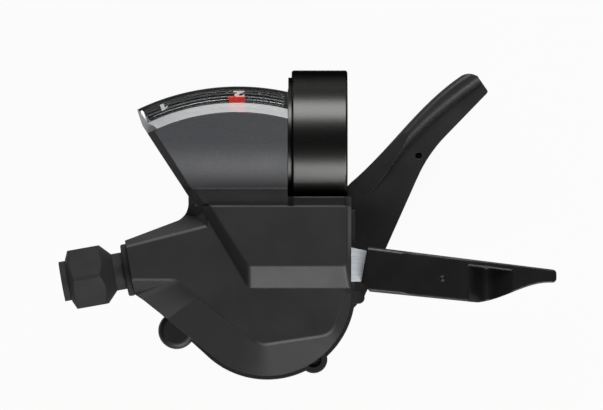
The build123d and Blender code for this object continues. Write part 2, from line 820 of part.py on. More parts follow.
def make_pawl_spring(pin, pin_at):
    r = pawl_pin_d / 2 + slide_fit + pawl_wire / 2
    z = ratchet_z - slide_fit - pawl_wire
    start = pin_at + pawl_spring_start
    end = start + pawl_spring_sweep
    return hooked_arc(*pin, r, start, end, pawl_spring_hook, pawl_wire, z, z + pawl_wire)


pin_top = pawl_top - slide_fit
save("winding_pawl", make_pawl(winding_pin, winding_nose_at))
save("winding_pawl_pin", rod(*winding_pin, pawl_pin_d / 2, thumb_bottom, pin_top))
save("winding_pawl_spring", make_pawl_spring(winding_pin, winding_pin_at))
save("holding_pawl", make_pawl(holding_pin, holding_nose_at))
save("holding_pawl_pin", rod(*holding_pin, pawl_pin_d / 2, base_bottom, pin_top))
save("holding_pawl_spring", make_pawl_spring(holding_pin, holding_pin_at))

# Thumb lever: blade under the bar, rounded rib for the thumb along its edge, hub on the main axle
thumb_root = (-3.2, -19.1)
thumb_waist = (6.7, -9.0)
thumb_tip = (31.6, 14.05)
thumb_nose = (33.5, 13.5)
thumb_corner = (35.8, 10.2)
thumb_knee = (23.0, -3.0)
thumb_back = (9.6, -33.0)
thumb_heel = (2.0, -41.5)
thumb_hole = (21.0, -3.3)
thumb_edge = [thumb_waist, (14.5, -1.3), (22.0, 6.8), (29.6, 13.3)]
thumb_run = (Vector(*thumb_tip) - Vector(*thumb_waist)).normalized()
thumb_rib_end = (thumb_waist[0] + thumb_rib_w * thumb_run.Y, thumb_waist[1] - thumb_rib_w * thumb_run.X)
thumb_rib_edge = [(34.2, 12.0), (28.4, 7.7), (18.2, -2.1), (13.7, -7.9), thumb_rib_end]


def thumb_plan():
    """Outline of the whole lever seen from above."""
    lines = [
        Line(thumb_root, thumb_waist),
        Spline(*thumb_edge),
        ThreePointArc(thumb_edge[-1], thumb_tip, thumb_nose),
        Polyline(
            thumb_nose, thumb_corner, thumb_knee, thumb_back, thumb_heel, (main_x, main_y), thumb_root
        ),
    ]
    plan = make_face(lines)
    for corner, r in ((thumb_corner, thumb_corner_r), (thumb_knee, thumb_knee_r)):
        plan = fillet(plan.vertices().sort_by_distance(Vector(*corner))[0], r)
    return plan


def thumb_rib():
    """Rib for the thumb: full height at the lever's end, fading out towards the hub."""
    lines = [
        Spline(*thumb_edge),
        Polyline(thumb_edge[-1], thumb_tip, thumb_nose, thumb_rib_edge[0]),
        Spline(*thumb_rib_edge),
        Line(thumb_rib_edge[-1], thumb_waist),
    ]
    rib = prism(make_face(lines), thumb_rib_top - thumb_rib_h, thumb_rib_top)
    for middle, r in ((thumb_edge[2], thumb_rib_round), (thumb_rib_edge[2], thumb_rib_flank)):
        crest = rib.edges().group_by(Axis.Z)[-1].sort_by_distance(Vector(*middle, thumb_rib_top))[0]
        rib = fillet(crest, r)
    across_run = (thumb_run.Y, -thumb_run.X, 0)
    fade = Plane(origin=(*thumb_waist, thumb_top), x_dir=thumb_run, z_dir=across_run)
    rise = thumb_rib_top - thumb_top
    wedge = outline((0, 0), (thumb_rib_fade, rise), (0, rise))
    return rib - extrude(fade * wedge, amount=far, both=True)


def make_thumb_lever():
    blade = prism(thumb_plan(), thumb_bottom, thumb_top)
    blade = blade + rod(main_x, main_y, thumb_disc_r, thumb_bottom, thumb_top)
    lever = blade + thumb_rib() + rod(main_x, main_y, thumb_hub_r, thumb_bottom, thumb_hub_top)
    lever = lever - rod(main_x, main_y, bore_r, -far, far)
    lever = lever - rod(*thumb_hole, thumb_hole_d / 2, thumb_top - thumb_hole_depth, far)
    return lever - rod(*winding_pin, pawl_pin_d / 2, -far, far)


save("thumb_lever", make_thumb_lever())
thumb_coil_r = thumb_hub_r + gap + thumb_spring_wire / 2
save("thumb_lever_spring", spiral(
    main_x, main_y, thumb_coil_r, 1.5 * thumb_spring_wire, thumb_spring_turns, thumb_spring_wire,
    base_bottom - gap - thumb_spring_h, base_bottom - gap
))

# Release lever: steel arm out of the housing's side, with a moulded finger piece on it
finger_root = (8.8, -29.9)
finger_root_back = (10.1, -22.5)
finger_root_front = (10.6, -32.0)
finger_tip = (49.9, -27.45)
finger_low = (49.9, -30.2)
finger_belly = (33.3, -34.3)
finger_dimple = (25.9, -29.2)
arm_end_x = 28.0
finger_top = release_z + release_t + release_up
finger_bottom = release_z - release_down


def make_release_plate():
    arm = outline(
        (main_x + 2, main_y + 5.7),
        (body_right_x, main_y + 9.3),
        (12.0, -23.8),
        (arm_end_x, -26.0),
        (arm_end_x, -29.8),
        (12.0, -29.9),
        (body_right_x, main_y + 2.1),
        (main_x + 2, main_y - 5.5),
    )
    plate = arm + Pos(main_x, main_y) * Circle(release_hub_r)
    plate = plate - Pos(main_x, main_y) * Circle(bore_r)
    return prism(plate, release_z, release_z + release_t)


finger_step_x = finger_root_back[0] + release_step_x
finger_face_z = finger_top - release_step
scoop_x = finger_root_back[0] + release_scoop_x


def finger_side():
    """Side outline (X, Z) of the finger piece: a low step, a flat face and a fall to the tip."""
    return outline(
        (0, finger_bottom),
        (0, finger_top),
        (finger_step_x, finger_top),
        (finger_step_x + release_step_len, finger_face_z),
        (scoop_x, finger_face_z),
        (finger_tip[0], finger_face_z - release_fall),
        (finger_tip[0], finger_bottom),
    )


def finger_scoop():
    """Hollow for the fingertip, which leaves a rim along the rider's side."""
    low = (scoop_x + release_scoop_low, finger_face_z - release_scoop)
    end = (scoop_x + release_scoop_len, finger_face_z)
    side = make_face([
        Spline((scoop_x, finger_face_z), low, end, tangents=((1, -1), (1, 0.2))),
        Polyline(end, (end[0], far), (scoop_x, far), (scoop_x, finger_face_z)),
    ])
    slope = (finger_tip[1] - finger_root_back[1]) / (finger_tip[0] - finger_root_back[0])
    edge_y = finger_root_back[1] + slope * (scoop_x - finger_root_back[0]) - release_rim
    rim_y = finger_tip[1] - release_rim
    zone = outline((scoop_x, -far), (scoop_x, edge_y), (finger_tip[0], rim_y), (finger_tip[0], -far))
    return along_y(side, -far, far) & prism(zone, finger_bottom, far)


def make_release_cover(plate):
    lines = [
        Polyline(finger_belly, finger_root_front, finger_root, finger_root_back, finger_tip, finger_low),
        Spline(finger_low, (42.7, -31.3), (36.0, -33.8), finger_belly),
    ]
    plan = make_face(lines)
    for corner in (finger_tip, finger_low):
        plan = fillet(plan.vertices().sort_by_distance(Vector(*corner))[0], release_tip_r)
    cover = prism(plan, finger_bottom, finger_top)
    long_sides = cover.edges().group_by(Axis.Z)[-1].sort_by(Edge.length)[-3:]
    cover = fillet(long_sides, release_round) & along_y(finger_side(), -far, far)
    cover = cover - finger_scoop()
    cover = cover - rod(*finger_dimple, release_dimple_d / 2, finger_top - 2 * release_step, far)
    return cover - plate


release_plate = make_release_plate()
save("release_plate", release_plate)
save("release_cover", make_release_cover(release_plate))
save("release_spring", hooked_arc(
    main_x, main_y, release_spring_r, release_spring_start, release_spring_end, release_spring_hook,
    release_wire, release_z, release_z + release_wire
))

# Dial, lens and pointer under the hood


def turned(points):
    """Solid of a section (radius, Z) turned about the pointer's pivot."""
    axis = Axis((pivot_x, pivot_y, 0), (0, 0, 1))
    plane = Plane(origin=(pivot_x, pivot_y, 0), x_dir=(1, 0, 0), z_dir=(0, -1, 0))
    return revolve(plane * outline(*points), axis=axis)


lens_z = hood_z - lens_rise
lens_far_r = hood_arc_r + 4


def lens_section(start_r, drop):
    """Section of the lens: a bevel next to the hood, then a gentle fall to the rider."""
    return [
        (start_r, hood_floor_z),
        (start_r, lens_z - drop),
        (window_r + lens_bevel / 2, lens_z - lens_bevel_ease - drop),
        (window_r + lens_bevel, lens_z - lens_bevel_drop - drop),
        (lens_far_r, lens_z - lens_bevel_drop - lens_fall - drop),
        (lens_far_r, hood_floor_z),
    ]


def make_lens():
    lens = turned(lens_section(window_r + slide_fit, 0)) & prism(hood_plan(), 0, far)
    inside = turned(lens_section(window_r - 1, lens_t)) & prism(shrunk(hood_plan(), lens_t), 0, far)
    bevel_z = lens_z - lens_bevel_drop - lens_end_bevel
    return lens - (inside - left_of_hood(bevel_z - lens_t, lens_t)) - left_of_hood(bevel_z, 0)


def make_dial():
    plan = shrunk(hood_plan(), lens_t + slide_fit) - Pos(pivot_x, pivot_y) * Circle(window_r + slide_fit)
    plan = plan + shrunk(hood_plan(), wall + slide_fit)
    top = hood_floor_z + dial_t
    dial = prism(plan, hood_floor_z, top)
    room = prism(plan, top, far)
    for ridge in range(dial_ridges):
        r = window_r + lens_bevel + ridge * dial_ridge_pitch
        half = dial_ridge_pitch / 3
        dial = dial + (turned([(r - half, top), (r, top + dial_ridge), (r + half, top)]) & room)
    return dial - rod(pivot_x, pivot_y, window_r - dial_width / 2, 0, far)


save("display_lens", make_lens())
save("dial_plate", make_dial())
tail_half = degrees(atan2(
    drive_pin_r * sin(radians(gear_swing / 2)), pivot_dist + drive_pin_r * cos(radians(gear_swing / 2))
))
tail_at = pivot_line - tail_half
tail_near = pivot_dist * cos(radians(tail_half)) + drive_pin_r * cos(radians(gear_swing / 2 - tail_half))
tail_far = pivot_dist + drive_pin_r


def make_pointer():
    pivot = (pivot_x, pivot_y)
    low = pointer_z + pointer_t / 2
    high = hood_floor_z + dial_t + dial_ridge + gap + pointer_t / 2
    climb_r = neck_front_y - pivot_y
    crest_r = climb_r + high - low
    elbow_r = crest_r + 2
    route = Polyline((0, low), (climb_r, low), (crest_r, high), (elbow_r, high))
    arm = across(trace(route, line_width=pointer_t), -pointer_w / 2, pointer_w / 2)
    arm = Pos(*pivot) * Rot(0, 0, -pointer_lean) * arm
    flag_at = polar(window_r + pointer_flag_out, 90, *pivot)
    top = strap(polar(elbow_r, 90 - pointer_lean, *pivot), flag_at, pointer_w / 2, pointer_w / 2)
    top = top + Pos(*flag_at) * Rectangle(pointer_flag_w, pointer_flag_len)
    arm = arm + prism(top, high - pointer_t / 2, high + pointer_t / 2)
    slot_r = drive_pin_d / 2 + drive_room
    slot = strap(polar(tail_near, tail_at, *pivot), polar(tail_far, tail_at, *pivot), slot_r, slot_r)
    tail = strap(pivot, polar(tail_far, tail_at, *pivot), pointer_hub_d / 2, slot_r + 1) - slot
    tail = tail - Pos(*pivot) * Circle(pivot_d / 2 + run_fit)
    arm = arm - rod(*pivot, pivot_d / 2 + run_fit, 0, far)
    return arm + prism(tail, pointer_z, pointer_z + pointer_t)


save("pointer", make_pointer())
pointer_seat = pointer_z - gap
pointer_screw = rod(pivot_x, pivot_y, pointer_screw_d / 2, pointer_seat - pointer_screw_h, pointer_seat)
pointer_screw = pointer_screw + rod(
    pivot_x, pivot_y, pivot_screw_r, pointer_seat, pointer_z + pivot_screw_len
)
save("pointer_screw", pointer_screw)

# Barrel adjuster
knob_start = socket_flange_t + collar_len
knob_end = knob_start + knob_len
bolt_end = knob_end + adjuster_end_len
flats_far = 2 * socket_d


def keyed(r, flats, s0, s1):
    """Cylinder on the outlet's axis with two flats, which can slide but not turn."""
    section = Circle(r) & Rectangle(flats_far, flats)
    return extrude(outlet_plane.offset(s0) * section, amount=s1 - s0, dir=out_dir)


def make_socket():
    flange = on_outlet(socket_flange_d / 2, 0, socket_flange_t)
    flange = fillet(flange.edges().filter_by(GeomType.CIRCLE), socket_edge)
    socket = on_outlet(socket_d / 2, -socket_depth, socket_flange_t / 2) + flange
    pocket_r = collar_d / 2 + slide_fit
    socket = socket - on_outlet(pocket_r, -socket_pocket, -collar_inside)
    socket = socket - keyed(pocket_r, collar_flats + 2 * slide_fit, -collar_inside, socket_flange_t)
    return socket - on_outlet(adjuster_d / 2 + run_fit, -socket_depth, 0)


def make_collar():
    collar = on_outlet(collar_d / 2, socket_flange_t + gap, knob_start)
    collar = collar + keyed(collar_d / 2, collar_flats, -collar_inside, socket_flange_t + gap)
    return collar - on_outlet(adjuster_d / 2 + run_fit, -socket_depth, bolt_end)


def make_knob():
    corner_r = knob_corner_d / 2
    grip = RegularPolygon(knob_flat_d / 2, knob_flats, major_radius=False, rotation=30) & Circle(corner_r)
    grip = extrude(outlet_plane.offset(knob_start) * grip, amount=knob_len, dir=out_dir)
    low = (Align.CENTER, Align.CENTER, Align.MIN)
    outer = knob_end - knob_outer_bevel
    form = outlet_plane.offset(knob_start) * Cone(collar_d / 2, corner_r, knob_inner_bevel, align=low)
    form = form + on_outlet(corner_r, knob_start + knob_inner_bevel, outer)
    end_bevel = Cone(corner_r, knob_outer_end_d / 2, knob_outer_bevel, align=low)
    form = form + outlet_plane.offset(outer) * end_bevel
    return (grip & form) - on_outlet(adjuster_d / 2, knob_start, knob_end)


def make_adjuster_bolt():
    bolt = on_outlet(adjuster_d / 2, -adjuster_inside, knob_end)
    bolt = bolt + on_outlet(adjuster_end_d / 2, knob_end, bolt_end)
    bolt = bolt - on_outlet(cable_bore_d / 2, -adjuster_inside, bolt_end)
    return bolt - on_outlet(housing_bore_d / 2, bolt_end - housing_bore_depth, bolt_end)


def on_outlet_ring(inner, outer, s0, s1):
    """Ring on the cable outlet's axis."""
    return on_outlet(outer, s0, s1) - on_outlet(inner, s0, s1)


def make_adjuster_spring():
    """Bellows spring: flat discs joined at their inner and outer rims by turns."""
    t = adjuster_spring_t
    inner = adjuster_d / 2 + run_fit + slide_fit
    outer = collar_d / 2
    start = slide_fit - socket_pocket
    pitch = (socket_pocket - collar_inside - 2 * slide_fit - t) / (adjuster_spring_discs - 1)
    spring = on_outlet_ring(inner, outer, start, start + t)
    for disc in range(1, adjuster_spring_discs):
        s = start + disc * pitch
        joint = (outer - t, outer) if disc % 2 else (inner, inner + t)
        spring = spring + on_outlet_ring(*joint, s - pitch, s) + on_outlet_ring(inner, outer, s, s + t)
    return spring


save("adjuster_socket", make_socket())
save("click_collar", make_collar())
save("adjuster_knob", make_knob())
save("adjuster_bolt", make_adjuster_bolt())
save("adjuster_spring", make_adjuster_spring())
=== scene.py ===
"""Looks of a left-hand trigger gear shifter: finishes, dial marks, a bolt's thread and a studio."""

import math

import bmesh
import bpy
from mathutils import Matrix, Vector


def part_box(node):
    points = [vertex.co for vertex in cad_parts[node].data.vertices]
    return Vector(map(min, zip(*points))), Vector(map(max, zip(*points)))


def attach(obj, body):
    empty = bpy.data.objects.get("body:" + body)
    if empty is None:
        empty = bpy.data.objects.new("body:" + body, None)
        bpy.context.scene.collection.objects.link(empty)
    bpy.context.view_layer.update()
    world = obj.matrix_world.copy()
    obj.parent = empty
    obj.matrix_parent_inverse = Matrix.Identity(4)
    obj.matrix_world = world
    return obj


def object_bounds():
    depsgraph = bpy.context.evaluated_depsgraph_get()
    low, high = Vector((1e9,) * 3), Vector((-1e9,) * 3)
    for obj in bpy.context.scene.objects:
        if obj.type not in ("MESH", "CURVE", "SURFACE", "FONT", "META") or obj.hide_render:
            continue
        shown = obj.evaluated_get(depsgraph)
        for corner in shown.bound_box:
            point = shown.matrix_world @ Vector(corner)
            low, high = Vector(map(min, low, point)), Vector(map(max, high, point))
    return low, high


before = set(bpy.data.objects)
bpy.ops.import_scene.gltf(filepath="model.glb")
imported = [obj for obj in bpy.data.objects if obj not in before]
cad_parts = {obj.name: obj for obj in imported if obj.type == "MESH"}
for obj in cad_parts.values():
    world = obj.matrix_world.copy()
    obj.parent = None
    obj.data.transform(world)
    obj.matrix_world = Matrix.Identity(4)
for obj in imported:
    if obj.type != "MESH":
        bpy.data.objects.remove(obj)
cad_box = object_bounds()

bl_info = {
    "name": "Trigger shifter looks",
    "version": (1, 0, 0),
    "blender": (4, 5, 0),
    "location": "View3D > Sidebar > Shifter",
    "description": "Finishes, dial marks and studio for a trigger gear shifter",
    "category": "Object",
}

MM = 0.001

# Picture
IMAGE_WIDTH = 603
PHOTO_MM_PER_PIXEL = 0.21
PHOTO_MIDDLE = (-3.78 * MM, -13.76 * MM)    # what lies under the middle of the photograph
SENSOR_WIDTH = 36.0

# Studio
FLOOR_DROP = 0.1 * MM                       # the floor lies this far below the part
FLOOR_SIDES = 64
RIM_ROUND = 0.08                            # the floor's rim turns up with this radius
RIM_STEPS = 6
RIM_HEIGHT = 0.2
FLOOR_WHITE = 0.95                          # share of plain white in the floor, the rest is lit paper
PAPER_COLOUR = "#b4b4b4"
GLOSS_SHARE = 0.35                          # the black resin shows the pale floor dimly
ROOM_COLOUR = "#ffffff"
ROOM_STRENGTH = 0.05
LAMP_AIM = (-4 * MM, -14 * MM, 0)
LAMP_DISTANCE = 0.6

# Hood: the faces that look up and to the front get a painted sheen, a lighter colour standing in for the
# light on the hood's face, which fades out between two places along Y. The faces are picked by their
# normals, within these limits.
HOOD_SHEEN_FADE = -6 * MM
HOOD_SHEEN_END = -11 * MM
HOOD_SHEEN_SIDEWAYS = 0.1
HOOD_SHEEN_TO_FRONT = -0.1
HOOD_SHEEN_UP = 0.45

# Window: limits for the normals of its bevel with the painted highlight, and of the bevel at the end away
# from the grip.
BEVEL_LEAST_UP = 0.6
BEVEL_MOST_UP = 0.985
BEVEL_END_SIDEWAYS = -0.4

# Dial: the pointer turns about the pivot, and the marks are drawn round it. Angles in degrees.
PIVOT = Vector((-17.2, -35.5)) * MM
ONE_ANGLE = 109.8
ONE_WIDTH = 1.45 * MM
TWO_ANGLE = 89.5
TWO_WIDTH = 2.4 * MM
LINE_START = 77.2
LINE_SWEEP = 36.2
FACE_ORDER = Vector((1, 2, 4))              # sorts the figures' faces, so that each run gives the same mesh

# Strip beside the band, round the bar. Angles in degrees.
SEAL_START = 36
SEAL_SWEEP = 132


class ShifterColours(bpy.types.PropertyGroup):
    """Colours of the visible materials, as sRGB hex values."""

    cover: bpy.props.StringProperty(
        name="Cover", description="Moulded cover", default="#161618"
    )
    # The hood colour is a painted sheen: lighter than the cover, it stands in for the light on the hood's
    # face.
    hood: bpy.props.StringProperty(
        name="Hood", description="Satin face of the hood", default="#3b3c40"
    )
    base: bpy.props.StringProperty(
        name="Base plate", description="Moulded lower plate", default="#121213"
    )
    band: bpy.props.StringProperty(
        name="Clamp band", description="Dyed anodising on the band", default="#444443"
    )
    band_glance: bpy.props.StringProperty(
        name="Clamp band, glancing", description="Tint of the band at a glancing angle", default="#5a5a5a"
    )
    lever: bpy.props.StringProperty(
        name="Thumb lever", description="Moulded thumb lever", default="#151516"
    )
    finger: bpy.props.StringProperty(
        name="Finger piece", description="Moulded finger piece", default="#0c0c0d"
    )
    knob: bpy.props.StringProperty(
        name="Adjuster", description="Moulded adjuster knob", default="#0f0f10"
    )
    window: bpy.props.StringProperty(
        name="Window", description="Clear window over the dial", default="#fcfdfd"
    )
    # The window bevel's pale colour is a painted highlight, standing in for light that the clear bevel
    # reflects.
    bevel: bpy.props.StringProperty(
        name="Window bevel", description="Satin bevel of the window", default="#eaebed"
    )
    dial: bpy.props.StringProperty(
        name="Dial", description="Matt dial plate", default="#0d0d0e"
    )
    pointer: bpy.props.StringProperty(
        name="Pointer", description="Gear pointer", default="#f03420"
    )
    figures: bpy.props.StringProperty(
        name="Dial figures", description="Print on the dial", default="#fafaf8"
    )
    # The dial line's pale metal colour is a painted highlight along a ridge of the dial.
    line: bpy.props.StringProperty(
        name="Dial line", description="Silver line on the dial", default="#b9bcbf"
    )
    steel: bpy.props.StringProperty(
        name="Release arm", description="Zinc on the pressed arm", default="#ebf0f5"
    )
    screws: bpy.props.StringProperty(
        name="Cover screws", description="Blackened screws of the cover", default="#4a4a4c"
    )
    fastener: bpy.props.StringProperty(
        name="Fasteners", description="Bolts, nuts and pins", default="#9b9da0"
    )
    spring: bpy.props.StringProperty(
        name="Springs", description="Spring wire", default="#8d8d8a"
    )
    drum: bpy.props.StringProperty(
        name="Drum", description="Moulded cable drum", default="#d9d6cc"
    )


class ShifterSizes(bpy.types.PropertyGroup):
    """Sizes of what is added to the solids."""

    figure_height: bpy.props.FloatProperty(
        name="Figure height", description="Height of the dial figures", default=1.3 * MM, unit="LENGTH"
    )
    figure_radius: bpy.props.FloatProperty(
        name="Figure radius", description="Middle of the figures from the pivot",
        default=44.85 * MM, unit="LENGTH"
    )
    figure_relief: bpy.props.FloatProperty(
        name="Figure relief", description="Thickness of the figures and the line",
        default=0.2 * MM, unit="LENGTH"
    )
    line_radius: bpy.props.FloatProperty(
        name="Line radius", description="Silver line from the pivot", default=43.75 * MM, unit="LENGTH"
    )
    line_width: bpy.props.FloatProperty(
        name="Line width", description="Width of the silver line", default=0.09 * MM, unit="LENGTH"
    )
    # The painted highlight on the window's bevel reaches out to this radius.
    bevel_radius: bpy.props.FloatProperty(
        name="Bevel radius", description="Outer edge of the window's satin bevel, from the pivot",
        default=43.05 * MM, unit="LENGTH"
    )
    ridge_pitch: bpy.props.FloatProperty(
        name="Ridge pitch", description="Spacing of the fine ridges on the dial",
        default=0.36 * MM, unit="LENGTH"
    )
    thread_pitch: bpy.props.FloatProperty(
        name="Thread pitch", description="Pitch of the bolt's thread", default=0.8 * MM, unit="LENGTH"
    )
    bolt_radius: bpy.props.FloatProperty(
        name="Bolt radius", description="Radius of the clamp bolt", default=2.5 * MM, unit="LENGTH"
    )
    thread_height: bpy.props.FloatProperty(
        name="Thread height", description="Height of the thread's ridge", default=0.09 * MM, unit="LENGTH"
    )
    seal_radius: bpy.props.FloatProperty(
        name="Seal radius", description="Middle of the strip beside the band, from the bar's axis",
        default=12.3 * MM, unit="LENGTH"
    )
    seal_width: bpy.props.FloatProperty(
        name="Seal width", description="Width of the strip beside the band", default=1.2 * MM, unit="LENGTH"
    )
    floor_size: bpy.props.FloatProperty(
        name="Floor size", description="Width of the studio floor inside its rim",
        default=4.0, unit="LENGTH"
    )
    lens: bpy.props.FloatProperty(
        name="Camera lens", description="Long lens, which sees the part almost without perspective",
        default=500.0, unit="CAMERA"
    )


def linear(hex_colour):
    """An sRGB hex value as the linear colour that shaders take."""
    parts = [int(hex_colour[i:i + 2], 16) / 255 for i in (1, 3, 5)]
    return [p / 12.92 if p <= 0.04045 else ((p + 0.055) / 1.055) ** 2.4 for p in parts] + [1.0]


def shaded(hex_colour, share):
    """The linear colour of a hex value, made darker or lighter by a share."""
    return [part * share for part in linear(hex_colour)[:3]] + [1.0]


def add(tree, kind, inputs=None, stops=(), **settings):
    """Add one node: its settings, a ramp's stops, then its inputs by name or index, values or sockets."""
    node = tree.nodes.new(kind)
    for key, value in settings.items():
        setattr(node, key, value)
    for index, (position, colour) in enumerate(stops):
        node.color_ramp.elements[index].position = position
        node.color_ramp.elements[index].color = colour
    for key, value in (inputs or {}).items():
        if isinstance(value, bpy.types.NodeSocket):
            tree.links.new(value, node.inputs[key])
        else:
            node.inputs[key].default_value = value
    return node


def new_material(name):
    """A material without nodes, and its tree."""
    material = bpy.data.materials.new(name)
    material.use_nodes = True
    material.node_tree.nodes.clear()
    return material, material.node_tree


# The grain of moulds, tumbling, rolling, etching and print is finer than the photograph's 0.21 mm pixel.
# It is drawn as coarse as it needs to show, 0.25 to 0.8 mm.


def moulded_resin(name, colour, roughness, grain_mm, relief_mm, edge_mm=0.3):
    """Moulded resin: fine grain of the mould, soft patches of handling, edges that catch the light."""
    material, tree = new_material(name)
    place = add(tree, "ShaderNodeTexCoord").outputs["Object"]
    grain = add(tree, "ShaderNodeTexNoise", {
        "Vector": place, "Scale": 1 / (grain_mm * MM), "Detail": 3.0, "Roughness": 0.6,
    })
    patches = add(tree, "ShaderNodeTexNoise", {"Vector": place, "Scale": 1 / (9 * MM), "Detail": 2.0})
    tone = add(tree, "ShaderNodeValToRGB", {"Fac": grain.outputs["Fac"]}, stops=(
        (0.3, shaded(colour, 0.82)), (0.7, shaded(colour, 1.16)),
    ))
    polish = add(tree, "ShaderNodeMapRange", {
        "Value": patches.outputs["Fac"], "From Min": 0.3, "From Max": 0.7,
        "To Min": roughness - 0.04, "To Max": roughness + 0.04,
    })
    edges = add(tree, "ShaderNodeBevel", {"Radius": edge_mm * MM}, samples=6)
    bump = add(tree, "ShaderNodeBump", {
        "Height": grain.outputs["Fac"], "Strength": 0.35, "Distance": relief_mm * MM,
        "Normal": edges.outputs["Normal"],
    })
    shader = add(tree, "ShaderNodeBsdfPrincipled", {
        "Base Color": tone.outputs["Color"], "Roughness": polish.outputs["Result"], "IOR": 1.6,
        "Normal": bump.outputs["Normal"],
    })
    add(tree, "ShaderNodeOutputMaterial", {"Surface": shader.outputs["BSDF"]})
    return material


def fade_painted_sheen(material, colour, start, end):
    """Let a painted sheen pass into another colour between two places along Y, so that no line shows."""
    tree = material.node_tree
    shader = next(node for node in tree.nodes if node.type == "BSDF_PRINCIPLED")
    own = shader.inputs["Base Color"].links[0].from_socket
    place = add(tree, "ShaderNodeTexCoord").outputs["Object"]
    along = add(tree, "ShaderNodeSeparateXYZ", {"Vector": place})
    share = add(tree, "ShaderNodeMapRange", {
        "Value": along.outputs["Y"], "From Min": end, "From Max": start,
    })
    mix = add(tree, "ShaderNodeMixRGB", {
        "Fac": share.outputs["Result"], "Color1": linear(colour), "Color2": own,
    })
    tree.links.new(mix.outputs["Color"], shader.inputs["Base Color"])


def ridged_resin(name, colour, pitch):
    """Matt dial with fine turned ridges round the pointer's pivot; the crests catch a little light through
    the bump and carry a painted highlight.
    """
    material, tree = new_material(name)
    place = add(tree, "ShaderNodeTexCoord").outputs["Object"]
    flat = add(tree, "ShaderNodeVectorMath", {0: place, 1: (1, 1, 0)}, operation="MULTIPLY")
    away = add(tree, "ShaderNodeVectorMath", {0: flat.outputs[0], 1: (*PIVOT, 0)}, operation="DISTANCE")
    per_metre = 2 * math.pi / pitch
    turns = add(tree, "ShaderNodeMath", {0: away.outputs["Value"], 1: per_metre}, operation="MULTIPLY")
    wave = add(tree, "ShaderNodeMath", {0: turns.outputs[0]}, operation="SINE")
    # Painted highlight: the crests are drawn six times lighter than the dial's colour.
    tone = add(tree, "ShaderNodeValToRGB", {"Fac": wave.outputs[0]}, stops=(
        (0.1, linear(colour)), (1.0, shaded(colour, 6)),
    ))
    bump = add(tree, "ShaderNodeBump", {
        "Height": wave.outputs[0], "Strength": 0.5, "Distance": 0.05 * MM,
    })
    shader = add(tree, "ShaderNodeBsdfPrincipled", {
        "Base Color": tone.outputs["Color"], "Roughness": 0.45, "Normal": bump.outputs["Normal"],
    })
    add(tree, "ShaderNodeOutputMaterial", {"Surface": shader.outputs["BSDF"]})
    return material


def anodised_aluminium(name, colour, glance):
    """Black anodised aluminium: a dark metal with soft wide highlights and the faint grain of tumbling."""
    material, tree = new_material(name)
    place = add(tree, "ShaderNodeTexCoord").outputs["Object"]
    grain = add(tree, "ShaderNodeTexNoise", {"Vector": place, "Scale": 1 / (0.3 * MM), "Detail": 2.0})
    tone = add(tree, "ShaderNodeValToRGB", {"Fac": grain.outputs["Fac"]}, stops=(
        (0.35, shaded(colour, 0.86)), (0.65, linear(colour)),
    ))
    haze = add(tree, "ShaderNodeMapRange", {"Value": grain.outputs["Fac"], "To Min": 0.26, "To Max": 0.36})
    bump = add(tree, "ShaderNodeBump", {
        "Height": grain.outputs["Fac"], "Strength": 0.1, "Distance": 0.01 * MM,
    })
    shader = add(tree, "ShaderNodeBsdfPrincipled", {
        "Base Color": tone.outputs["Color"], "Metallic": 1.0, "Roughness": haze.outputs["Result"],
        "Normal": bump.outputs["Normal"], "Specular Tint": linear(glance),
    })
    add(tree, "ShaderNodeOutputMaterial", {"Surface": shader.outputs["BSDF"]})
    return material


def worked_steel(name, colour, roughness, stretch, grain_mm, relief_mm, metallic=1.0):
    """Steel with the fine lines of rolling or turning, drawn out along one direction."""
    material, tree = new_material(name)
    place = add(tree, "ShaderNodeTexCoord").outputs["Object"]
    drawn = add(tree, "ShaderNodeMapping", {"Vector": place, "Scale": stretch})
    lines = add(tree, "ShaderNodeTexNoise", {
        "Vector": drawn.outputs["Vector"], "Scale": 1 / (grain_mm * MM), "Detail": 4.0,
    })
    tone = add(tree, "ShaderNodeValToRGB", {"Fac": lines.outputs["Fac"]}, stops=(
        (0.35, shaded(colour, 0.86)), (0.65, linear(colour)),
    ))
    dull = add(tree, "ShaderNodeMapRange", {
        "Value": lines.outputs["Fac"], "To Min": roughness - 0.05, "To Max": roughness + 0.07,
    })
    bump = add(tree, "ShaderNodeBump", {
        "Height": lines.outputs["Fac"], "Strength": 0.2, "Distance": relief_mm * MM,
    })
    shader = add(tree, "ShaderNodeBsdfPrincipled", {
        "Base Color": tone.outputs["Color"], "Metallic": metallic, "Roughness": dull.outputs["Result"],
        "Normal": bump.outputs["Normal"],
    })
    add(tree, "ShaderNodeOutputMaterial", {"Surface": shader.outputs["BSDF"]})
    return material


def clear_polycarbonate(name, colour):
    """Clear moulded polycarbonate: colourless, smooth, with a trace of flow lines in its surface."""
    material, tree = new_material(name)
    place = add(tree, "ShaderNodeTexCoord").outputs["Object"]
    flow = add(tree, "ShaderNodeTexNoise", {"Vector": place, "Scale": 1 / (6 * MM), "Detail": 1.0})
    bump = add(tree, "ShaderNodeBump", {
        "Height": flow.outputs["Fac"], "Strength": 0.05, "Distance": 0.02 * MM,
    })
    shader = add(tree, "ShaderNodeBsdfPrincipled", {
        "Base Color": linear(colour), "Roughness": 0.05, "IOR": 1.58, "Transmission Weight": 1.0,
        "Normal": bump.outputs["Normal"],
    })
    add(tree, "ShaderNodeOutputMaterial", {"Surface": shader.outputs["BSDF"]})
    return material


